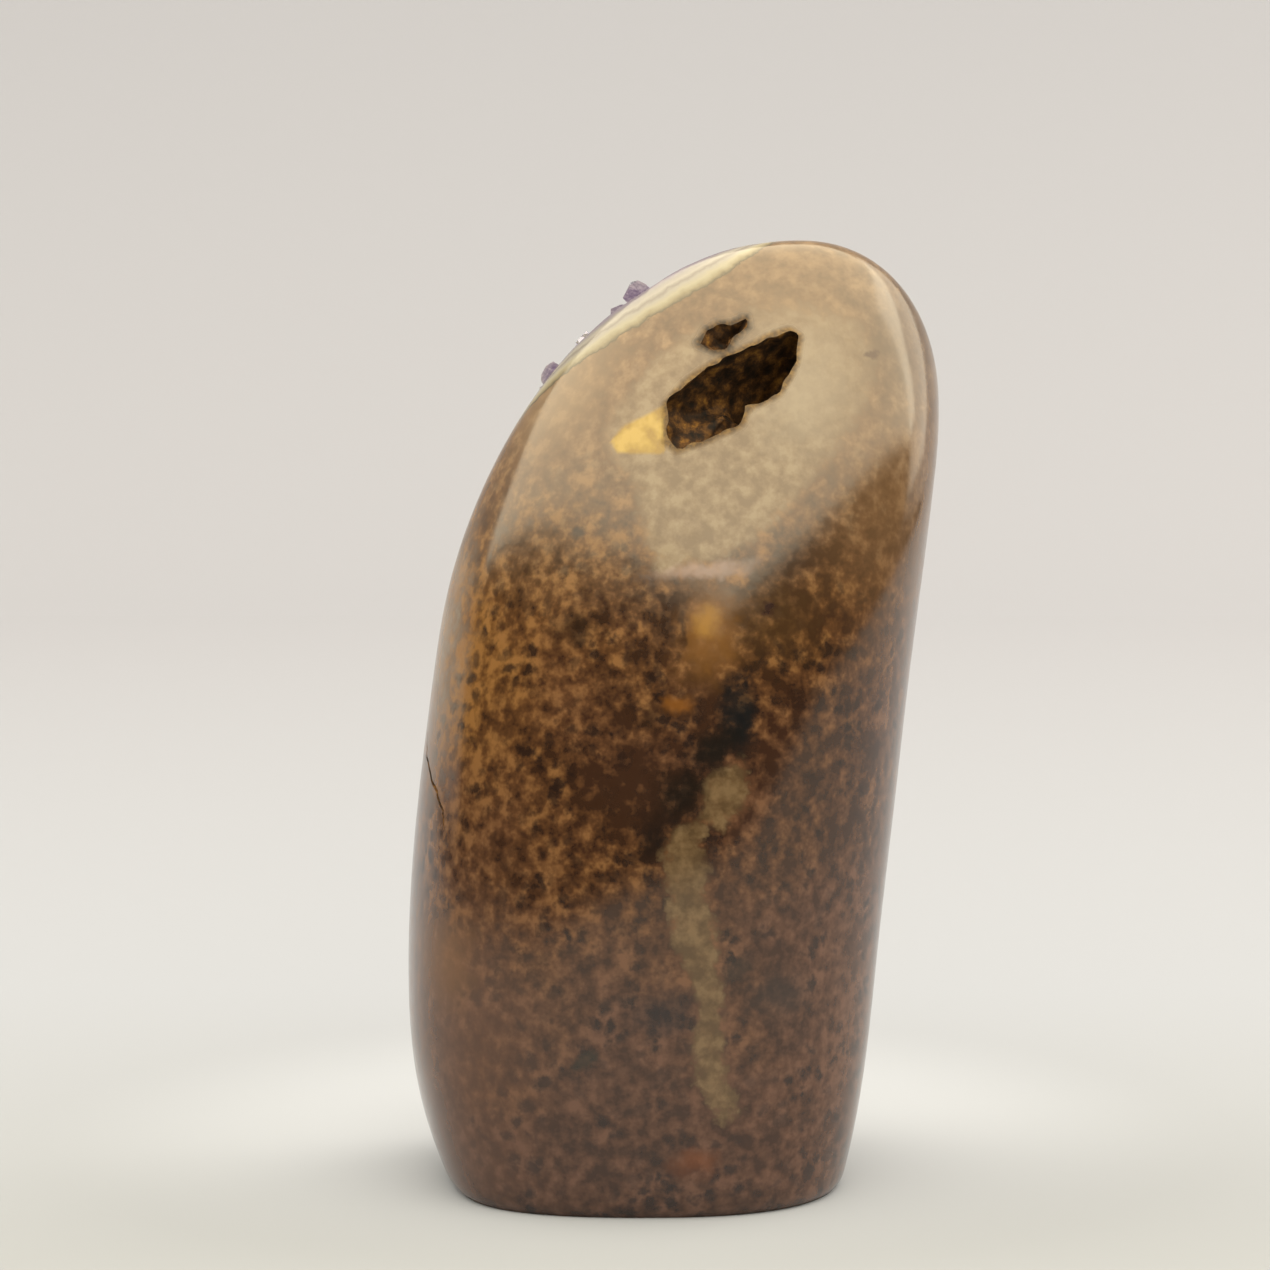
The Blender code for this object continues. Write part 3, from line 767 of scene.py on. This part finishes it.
def grownMineral(name, finish):  # one noise clouds its colour, and that one or a finer one roughens its skin
    material, tree = newMaterial(name)
    add = partial(addNode, tree)
    place = add("ShaderNodeTexCoord").outputs["Object"]
    cloud = add("ShaderNodeTexNoise", {"Vector": place, **finish["cloud"]})
    colour = add("ShaderNodeValToRGB", {"Fac": cloud}, stops=finish["stops"])
    skin = add("ShaderNodeTexNoise", {"Vector": place, **finish["skin"]}) if "skin" in finish else cloud
    bump = add("ShaderNodeBump", {"Height": skin, **finish["bump"]})
    shader = add("ShaderNodeBsdfPrincipled", {"Base Color": colour, "Normal": bump, **finish["shader"]})
    results = {"Surface": shader}
    if "inside" in finish:
        results["Volume"] = add("ShaderNodeVolumeAbsorption", finish["inside"])
    add("ShaderNodeOutputMaterial", results)
    return material


rock = polishedRock()
druse = grownMineral("iron-stained druse", druseFinish)
amethyst = grownMineral("amethyst", amethystFinish)
bedQuartz = grownMineral("milky quartz", bedFinish)
print("materials made")

stone = addPiece("polished_stone", makeStone(), [rock, druse])
cutters = [
    ("hollow", hollowShape(0.0)),
    ("vug", vugShape(vugForm["outline"], vugForm["depths"], vugForm["steps"], vugForm["segments"])),
    ("smallVug", vugShape(vugForm["smallOutline"], vugForm["smallDepths"], vugForm["smallSteps"],
                          vugForm["smallSegments"])),
    ("crack", crackShape()),
]
combine(stone, [addPiece(name, shape, [rock, druse]) for name, shape in cutters], "DIFFERENCE")
stone.data.shade_smooth()
stone.data.set_sharp_from_angle(angle=math.radians(stoneForm["sharpEdge"]))
storeMarkings(stone.data)
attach(stone, "root")
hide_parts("stone")
print("stone made:", len(stone.data.polygons), "faces")


# The crystals that line the hollow

bedForm = {
    "gap": 0.05,  # from the hollow's wall
    "thickness": 1.6,
    "below": 0.5,  # how far its underside starts past the wall, to be trimmed there
    "segments": 96,
    "rings": 20,
    "belowRim": 0.35,
    "farthestDip": 0.6,  # in half turns
    "searchSteps": 30,
}

crystalForm = {
    "floor": 1.9,  # where the crystals start, from the hollow's wall
    "belowRim": 1.0,
    "count": 68,
    "radius": (3.0, 5.0),
    "seed": 11,
    "proud": (-1.6, 1.3),  # of the tips, from the polished surface
    "rimLower": 1.5,
    "smallProud": -0.2,  # small crystals that reach higher are left out
    "openFacing": 0.15,  # small ones grow where the bed faces out of the hollow at least this much
    "lean": 0.22,
    "inward": 0.45,
    "tries": 14,  # each large one takes the roomiest of so many places
    "rimSize": 0.62,
    "tipHeight": 1.1,  # in crystal radii
    "tipShift": 0.15,
    "shoulder": 0.16,
    "root": 0.8,
    "longest": 30.0,
    "leastStem": 0.25,  # of the length
    "sides": 6,
}

smallCrystalForm = {
    "Small spacing": 1.5 * mm,
    "Small density": 0.8 / mm**2,
    "Small radius least": 0.8 * mm,
    "Small radius most": 2.0 * mm,
    "Small stem least": -0.5 * mm,
    "Small stem most": 1.2 * mm,
    "Small lean": 0.5,
    "Seed": 4,
}


def rimDips(turns, inset, below, hollow, outside):  # how far from the hollow's floor a layer reaches
    near = np.zeros(len(turns))
    far = np.full(len(turns), math.pi * bedForm["farthestDip"])
    for _ in range(bedForm["searchSteps"]):
        middle = (near + far) / 2
        covered = outside(hollow(turns, middle, inset)) < -below
        near = np.where(covered, middle, near)
        far = np.where(covered, far, middle)
    return near


def makeBed():
    form = bedForm
    turns = np.arange(form["segments"]) * 2 * math.pi / form["segments"]
    brims = rimDips(turns, form["gap"], form["belowRim"], hollowPoint, outsideBy)
    layers = []
    ends = []
    for inset in (form["gap"] - form["below"], form["gap"] + form["thickness"]):
        layers.append([hollowPoint(turns, brims * ring / form["rings"], inset)
                       for ring in range(1, form["rings"] + 1)])
        ends.append(hollowPoint(0.0, 0.0, inset))
    return closedRings(layers[0] + layers[1][::-1], ends[0], ends[1], 1)


def crystalSites(chance):  # where the large crystals stand, and how near the rim, from 0 to 1
    form = crystalForm
    feet = []
    shares = []
    for _ in range(form["count"]):
        turns = np.array([chance.uniform(0, 2 * math.pi) for _ in range(form["tries"])])
        spread = np.sqrt([chance.random() for _ in range(form["tries"])])
        brims = rimDips(turns, form["floor"], form["belowRim"], evenHollowPoint, trueOutsideBy)
        spots = evenHollowPoint(turns, np.arcsin(spread * np.sin(brims)), form["floor"])
        room = [min((math.dist(spot, foot) for foot in feet), default=0.0) for spot in spots]
        best = int(np.argmax(room))
        feet.append(spots[best])
        shares.append(spread[best])
    return feet, shares


def largeCrystals():  # points that carry each large crystal's direction and size
    form = crystalForm
    chance = random.Random(form["seed"])
    middle = onFace(*hollowForm["middle"], 0.0)
    rows = []
    for foot, share in zip(*crystalSites(chance)):
        inwards = unit(middle - foot) * form["inward"] * share
        lean = np.array([chance.uniform(-1, 1) for _ in range(3)]) * form["lean"]
        axis = unit(faceOut + inwards + lean)
        proud = chance.uniform(*form["proud"]) - form["rimLower"] * share**2
        tip = surfaceAlong(foot[None, :], axis[None, :], form["longest"], proud)[0]
        length = np.linalg.norm(tip - foot)
        radius = chance.uniform(*form["radius"]) * (1 - (1 - form["rimSize"]) * share**2)
        side = unit(np.cross(axis, (chance.uniform(-1, 1), chance.uniform(-1, 1), 1.0)))
        across = np.cross(axis, side)
        stem = max(length - form["tipHeight"] * radius, form["leastStem"] * length)
        shift = (side * chance.uniform(-1, 1) + across * chance.uniform(-1, 1)) * radius * form["tipShift"]
        shift = shift + axis * (length - stem - form["tipHeight"] * radius)
        rows.append((foot, axis, side, shift * mm, radius * mm, stem * mm))
    mesh = bpy.data.meshes.new("largeCrystals")
    mesh.from_pydata([row[0] * mm for row in rows], [], [])
    for column, name in enumerate(("axis", "side", "tipShift"), 1):
        layer = mesh.attributes.new(name, "FLOAT_VECTOR", "POINT")
        layer.data.foreach_set("vector", np.array([row[column] for row in rows], np.float32).ravel())
    for column, name in enumerate(("halfWidth", "stem"), 4):
        storeNumbers(mesh, name, [row[column] for row in rows])
    sites = bpy.data.objects.new("largeCrystals", mesh)
    bpy.context.scene.collection.objects.link(sites)
    return sites


def crystalTree():
    # Six-sided crystals on the given points, and small ones scattered over the bed between them
    tree = bpy.data.node_groups.new("growCrystals", "GeometryNodeTree")
    add = partial(addNode, tree)
    newSocket = partial(tree.interface.new_socket, in_out="INPUT")
    newSocket("Geometry", socket_type="NodeSocketGeometry")
    newSocket("Bed", socket_type="NodeSocketObject")
    newSocket("Material", socket_type="NodeSocketMaterial")
    for name in ("Tip height", "Shoulder", "Root", "Tip shift", *smallCrystalForm):
        newSocket(name, socket_type="NodeSocketInt" if name == "Seed" else "NodeSocketFloat")
    tree.interface.new_socket("Geometry", in_out="OUTPUT", socket_type="NodeSocketGeometry")
    given = add("NodeGroupInput").outputs
    axis, side, shift = [add("GeometryNodeInputNamedAttribute", {"Name": name}, data_type="FLOAT_VECTOR")
                         for name in ("axis", "side", "tipShift")]
    radius, stem = [add("GeometryNodeInputNamedAttribute", {"Name": name}, data_type="FLOAT")
                    for name in ("halfWidth", "stem")]
    isTip, isFoot = [add("GeometryNodeInputNamedAttribute", {"Name": name}, data_type="BOOLEAN")
                     for name in ("isTip", "isFoot")]

    # one crystal: a six-faced tip with a zigzag shoulder, on a stem that is drawn out afterwards
    cone = add("GeometryNodeMeshCone", {"Vertices": crystalForm["sides"], "Radius Top": 0.0,
               "Radius Bottom": 1.0, "Depth": given["Tip height"]}, fill_type="NGON")
    crystal = add("GeometryNodeExtrudeMesh", {
        "Mesh": cone, "Selection": cone.outputs["Bottom"], "Offset": (0.0, 0.0, -1.0), "Offset Scale": 1.0,
        "Individual": False}, mode="FACES")
    # its foot is at -1, its shoulder at 0 and its tip above 1
    height = add("ShaderNodeSeparateXYZ", {"Vector": add("GeometryNodeInputPosition")}).outputs["Z"]
    for name, level, operation in (("isTip", 0.5, "GREATER_THAN"), ("isFoot", -0.5, "LESS_THAN")):
        picked = add("FunctionNodeCompare", {"A": height, "B": level}, data_type="FLOAT", operation=operation)
        crystal = add("GeometryNodeStoreNamedAttribute", {"Geometry": crystal, "Name": name, "Value": picked},
                      data_type="BOOLEAN", domain="POINT")
    isEdge = add("FunctionNodeBooleanMath", {0: isTip, 1: isFoot}, operation="NOR")
    zigzag = add("ShaderNodeMath", {0: add("GeometryNodeInputIndex"), 1: 2.0}, operation="MODULO")
    zigzag = add("ShaderNodeMath", {0: zigzag, 1: 2.0, 2: -1.0}, operation="MULTIPLY_ADD")
    zigzag = add("ShaderNodeMath", {0: zigzag, 1: given["Shoulder"]}, operation="MULTIPLY")
    crystal = add("GeometryNodeSetPosition", {"Geometry": crystal, "Selection": isEdge,
                  "Offset": add("ShaderNodeCombineXYZ", {"Z": zigzag})})

    # small crystals all over the bed
    bed = add("GeometryNodeObjectInfo", {"Object": given["Bed"]}).outputs["Geometry"]
    facing = add("ShaderNodeVectorMath", {0: add("GeometryNodeInputNormal"), 1: tuple(faceOut)},
                 operation="DOT_PRODUCT").outputs["Value"]
    isOpen = add("FunctionNodeCompare", {"A": facing, "B": crystalForm["openFacing"]}, data_type="FLOAT",
                 operation="GREATER_THAN")
    small = add("GeometryNodeDistributePointsOnFaces", {
        "Mesh": bed, "Selection": isOpen, "Distance Min": given["Small spacing"],
        "Density Max": given["Small density"], "Seed": given["Seed"]}, distribute_method="POISSON")
    normal = small.outputs["Normal"]
    anyWay = ((-1.0,) * 3, (1.0,) * 3, "FLOAT_VECTOR")
    radii, stems = [(given[name + " least"], given[name + " most"], "FLOAT")
                    for name in ("Small radius", "Small stem")]
    chances = []
    for step, (least, most, kind) in enumerate((anyWay, anyWay, anyWay, radii, stems)):
        seed = add("ShaderNodeMath", {0: given["Seed"], 1: float(step)}, operation="ADD")
        chances.append(add("FunctionNodeRandomValue", {"Min": least, "Max": most, "Seed": seed},
                           data_type=kind))
    tilt, sideways, nudge, halfWidth, smallStem = chances
    tilt = add("ShaderNodeVectorMath", {0: tilt, "Scale": given["Small lean"]}, operation="SCALE")
    towards = add("ShaderNodeVectorMath", {0: normal, 1: tuple(faceOut)}, operation="ADD")
    towards = add("ShaderNodeVectorMath", {0: towards, 1: tilt}, operation="ADD")
    towards = add("ShaderNodeVectorMath", {0: towards}, operation="NORMALIZE")
    farthest = add("ShaderNodeMath", {0: halfWidth, 1: given["Tip shift"]}, operation="MULTIPLY")
    nudge = add("ShaderNodeVectorMath", {0: nudge, "Scale": farthest}, operation="SCALE")
    for name, value, kind in (("axis", towards, "FLOAT_VECTOR"), ("side", sideways, "FLOAT_VECTOR"),
                              ("tipShift", nudge, "FLOAT_VECTOR"), ("halfWidth", halfWidth, "FLOAT"),
                              ("stem", smallStem, "FLOAT")):
        small = add("GeometryNodeStoreNamedAttribute", {"Geometry": small, "Name": name, "Value": value},
                    data_type=kind, domain="POINT")

    large = add("GeometryNodeMeshToPoints", {"Mesh": given["Geometry"]})
    sites = add("GeometryNodeJoinGeometry", {"Geometry": [large, small]})
    turned = add("FunctionNodeAlignRotationToVector", {"Vector": axis}, axis="Z")
    turned = add("FunctionNodeAlignRotationToVector", {"Rotation": turned, "Vector": side}, axis="X",
                 pivot_axis="Z")
    crust = add("GeometryNodeInstanceOnPoints", {"Points": sites, "Instance": crystal, "Rotation": turned,
                "Scale": radius})
    crust = add("GeometryNodeRealizeInstances", {"Geometry": crust})
    rise = add("ShaderNodeVectorMath", {0: axis, "Scale": stem}, operation="SCALE")
    drop = add("ShaderNodeMath", {0: radius, 1: stem}, operation="SUBTRACT")
    drop = add("ShaderNodeMath", {0: drop, 1: given["Root"]}, operation="SUBTRACT")
    drop = add("ShaderNodeVectorMath", {0: axis, "Scale": drop}, operation="SCALE")
    crust = add("GeometryNodeSetPosition", {"Geometry": crust, "Offset": rise})
    crust = add("GeometryNodeSetPosition", {"Geometry": crust, "Selection": isFoot, "Offset": drop})
    crust = add("GeometryNodeSetPosition", {"Geometry": crust, "Selection": isTip, "Offset": shift})
    crust = add("GeometryNodeRealizeInstances", {"Geometry": crust})
    crust = add("GeometryNodeSetMaterial", {"Geometry": crust, "Material": given["Material"]})
    add("NodeGroupOutput", {"Geometry": crust})
    return tree


def growCrystals(bed, finishes):
    sites = largeCrystals()
    grower = sites.modifiers.new("growCrystals", "NODES")
    grower.node_group = crystalTree()
    sizes = {
        "Bed": bed, "Material": finishes[0], "Tip height": crystalForm["tipHeight"],
        "Shoulder": crystalForm["shoulder"], "Root": crystalForm["root"] * mm,
        "Tip shift": crystalForm["tipShift"], **smallCrystalForm,
    }
    for item in grower.node_group.interface.items_tree:
        if item.in_out == "INPUT" and item.name in sizes:
            grower[item.identifier] = sizes[item.name]
    evaluated = sites.evaluated_get(bpy.context.evaluated_depsgraph_get())
    mesh = bpy.data.meshes.new_from_object(evaluated)
    bpy.data.objects.remove(sites, do_unlink=True)
    corners = 2 * crystalForm["sides"] + 1  # at the foot, at the shoulder, and the tip
    outline = [list(face.vertices) for face in mesh.polygons if max(face.vertices) < corners]
    grown = vertexPlaces(mesh).reshape(-1, corners, 3)
    tips = np.array([places[np.argmax(places @ faceOut)] for places in grown])
    tooProud = outsideBy(tips) > crystalForm["smallProud"]
    tooProud[:crystalForm["count"]] = False  # the large ones, which come first
    crystals = []
    for places in grown[~tooProud]:
        shape = bmesh.new()
        verts = [shape.verts.new(place * mm) for place in places]
        for face in outline:
            shape.faces.new([verts[k] for k in face])
        crystals.append(addPiece("crystal", shape, finishes))
    return crystals


def keepLargest(mesh):  # drops loose bits and the sealed voids left between the crystals
    shape = bmesh.new()
    shape.from_mesh(mesh)
    unseen = set(shape.verts)
    largest = set()
    while unseen:
        island = {unseen.pop()}
        waiting = list(island)
        while waiting:
            vert = waiting.pop()
            for link in vert.link_edges:
                other = link.other_vert(vert)
                if other not in island:
                    island.add(other)
                    waiting.append(other)
        unseen -= island
        if len(island) > len(largest):
            largest = island
    bmesh.ops.delete(shape, geom=[vert for vert in shape.verts if vert not in largest], context="VERTS")
    shape.to_mesh(mesh)
    shape.free()


finishes = [amethyst, bedQuartz]
crust = addPiece("crystal_crust", makeBed(), finishes)
crystals = growCrystals(crust, finishes)
print("crystals grown:", len(crystals))
combine(crust, crystals, "UNION")
combine(crust, [addPiece("lining", hollowShape(bedForm["gap"], 1), finishes)], "INTERSECT")
keepLargest(crust.data)
crust.data.shade_flat()
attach(crust, "root")
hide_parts("amethyst_crystals")
print("crust made:", len(crust.data.polygons), "faces")


# The floor, the lights and the camera

studio = {
    "floorFront": -2.6,  # metres
    "floorNear": -0.3,
    "wall": 0.95,
    "wallTop": 1.15,
    "halfWidth": 2.6,
    "nearHalfWidth": 0.5,
    "sweepRadius": 0.4,
    "sweepSteps": 24,
    # the paper's colour at these distances behind the object, in metres, a little darker towards the front as
    # painted shade
    "paper": ((-0.15, "#84888f"), (0.1, "#8b909f"), (0.5, "#8b8e9c"), (0.86, "#8b8e9c")),
    "paperShader": {"Roughness": 0.95, "Specular IOR Level": 0.1},
    # where light is painted onto the paper round the object's foot, thinning its shadow there, and how much
    "paintedLightMiddle": (-0.004, 0.022, 0.0),
    "paintedLightReach": {"From Min": 0.064, "From Max": 0.026, "To Max": 0.17},
    "paintedLightColour": "#c9d0e5",
    "softboxHeight": 1.25,
    "softboxMiddle": (0.59, 1.83),  # across and back, in its own heights, as is its size
    "softboxSize": (7.56, 7.16),
    "softboxTurn": 130.0,  # so that its mirrored edge ends the pale veil on the upper rock
    "softboxRadiance": (3.9, 3.5, 2.6),
    "rimCardPlace": (1.0, 0.75, 0.55),
    "rimCardSize": (1.2, 1.0),
    "rimCardRadiance": (2.3, 2.05, 1.6),
    "room": "#3a3a3a",  # what lights and reflections find past the paper
    "roomSeen": "#dad6ce",  # what the camera finds there
}

photoView = {
    "place": (-3.5, -447.5, 100.6),
    "aim": (-3.5, 0.0, 53.6),
    "lens": 130.56,
    "sensor": 36.0,
    "nearest": 10.0,
}


def backdropPaper():
    # Matt studio paper: pale, without gloss, a little darker towards the front as painted shade, and with
    # painted light round the object's foot that thins its shadow there
    material, tree = newMaterial("matt studio paper")
    add = partial(addNode, tree)
    place = add("ShaderNodeTexCoord").outputs["Object"]
    depth = add("ShaderNodeSeparateXYZ", {"Vector": place}).outputs["Y"]
    near, far = studio["paper"][0][0], studio["paper"][-1][0]
    share = add("ShaderNodeMapRange", {"Value": depth, "From Min": near, "From Max": far})
    colour = add("ShaderNodeValToRGB", {"Fac": share}, stops=[
        ((behind - near) / (far - near), code) for behind, code in studio["paper"]])
    # painted light: a paler disc round the object's foot that thins the object's shadow on the floor
    pale = add("ShaderNodeVectorMath", {0: place, 1: studio["paintedLightMiddle"]}, operation="DISTANCE")
    pale = add("ShaderNodeMapRange", {"Value": pale, **studio["paintedLightReach"]}, interpolation_type="SMOOTHSTEP")
    colour = add("ShaderNodeMix", {"Factor": pale, "A": colour, "B": studio["paintedLightColour"]}, data_type="RGBA")
    shader = add("ShaderNodeBsdfPrincipled", {"Base Color": colour, **studio["paperShader"]})
    add("ShaderNodeOutputMaterial", {"Surface": shader})
    return material


def addSheet(name, strips, material):  # paper along (y, z) profiles, each between two places across
    shape = bmesh.new()
    for left, right, profile in strips:
        rows = [[shape.verts.new((x, y, z)) for x in (left, right)] for y, z in profile]
        for (a, b), (c, d) in zip(rows, rows[1:]):
            shape.faces.new((a, b, d, c))
    sheet = addPiece(name, shape, [material])
    sheet.data.shade_smooth()
    return sheet


def addLamp(name, place, turn, size, radiance):  # a glowing rectangle that the camera doesn't see
    lamp = bpy.data.lights.new(name, "AREA")
    lamp.shape = "RECTANGLE"
    lamp.size, lamp.size_y = size
    brightest = max(radiance)
    lamp.color = [value / brightest for value in radiance]
    lamp.energy = brightest * math.pi * size[0] * size[1]
    holder = bpy.data.objects.new(name, lamp)
    holder.location = place
    holder.rotation_euler = turn
    holder.visible_camera = False
    bpy.context.scene.collection.objects.link(holder)


def makeStudio():
    paper = backdropPaper()
    wall, radius = studio["wall"], studio["sweepRadius"]
    turns = np.linspace(0, math.pi / 2, studio["sweepSteps"])
    bend = [(wall - radius + radius * math.sin(t), radius - radius * math.cos(t)) for t in turns]
    near, side, far = studio["floorNear"], studio["nearHalfWidth"], studio["halfWidth"]
    flat = [(near, 0), bend[0]]
    upright = [*bend, (wall, studio["wallTop"])]
    inFront = [(studio["floorFront"], 0), (near, 0)]
    addSheet("sweep", [(-side, side, flat), (-far, far, upright)], paper)
    floor = addSheet("outer_floor", [(-far, -side, flat), (side, far, flat), (-far, far, inFront)], paper)
    floor.visible_glossy = False  # the polish faces a dim room, not the floor at the camera's feet

    height = studio["softboxHeight"]
    place = [share * height for share in (*studio["softboxMiddle"], 1.0)]
    size = [share * height for share in studio["softboxSize"]]
    turn = (0.0, 0.0, math.radians(studio["softboxTurn"]))
    addLamp("softbox", place, turn, size, studio["softboxRadiance"])
    place = Vector(studio["rimCardPlace"])
    turn = place.to_track_quat("Z", "Y").to_euler()
    addLamp("rimCard", place, turn, studio["rimCardSize"], studio["rimCardRadiance"])

    world = bpy.data.worlds.new("room")
    world.use_nodes = True
    world.node_tree.nodes.clear()
    add = partial(addNode, world.node_tree)
    colour = add("ShaderNodeMix", {"Factor": add("ShaderNodeLightPath").outputs["Is Camera Ray"],
                 "A": studio["room"], "B": studio["roomSeen"]}, data_type="RGBA")
    add("ShaderNodeOutputWorld", {"Surface": add("ShaderNodeBackground", {"Color": colour})})
    bpy.context.scene.world = world


def makeCamera():
    camera = bpy.data.objects.new("camera", bpy.data.cameras.new("camera"))
    camera.data.lens = photoView["lens"]
    camera.data.sensor_width = photoView["sensor"]
    camera.data.clip_start = photoView["nearest"] * mm
    place = Vector(photoView["place"]) * mm
    camera.location = place
    camera.rotation_euler = (Vector(photoView["aim"]) * mm - place).to_track_quat("-Z", "Y").to_euler()
    bpy.context.scene.collection.objects.link(camera)
    bpy.context.scene.camera = camera


makeStudio()
makeCamera()
bpy.context.scene.view_settings.view_transform = "Standard"
print("studio made")
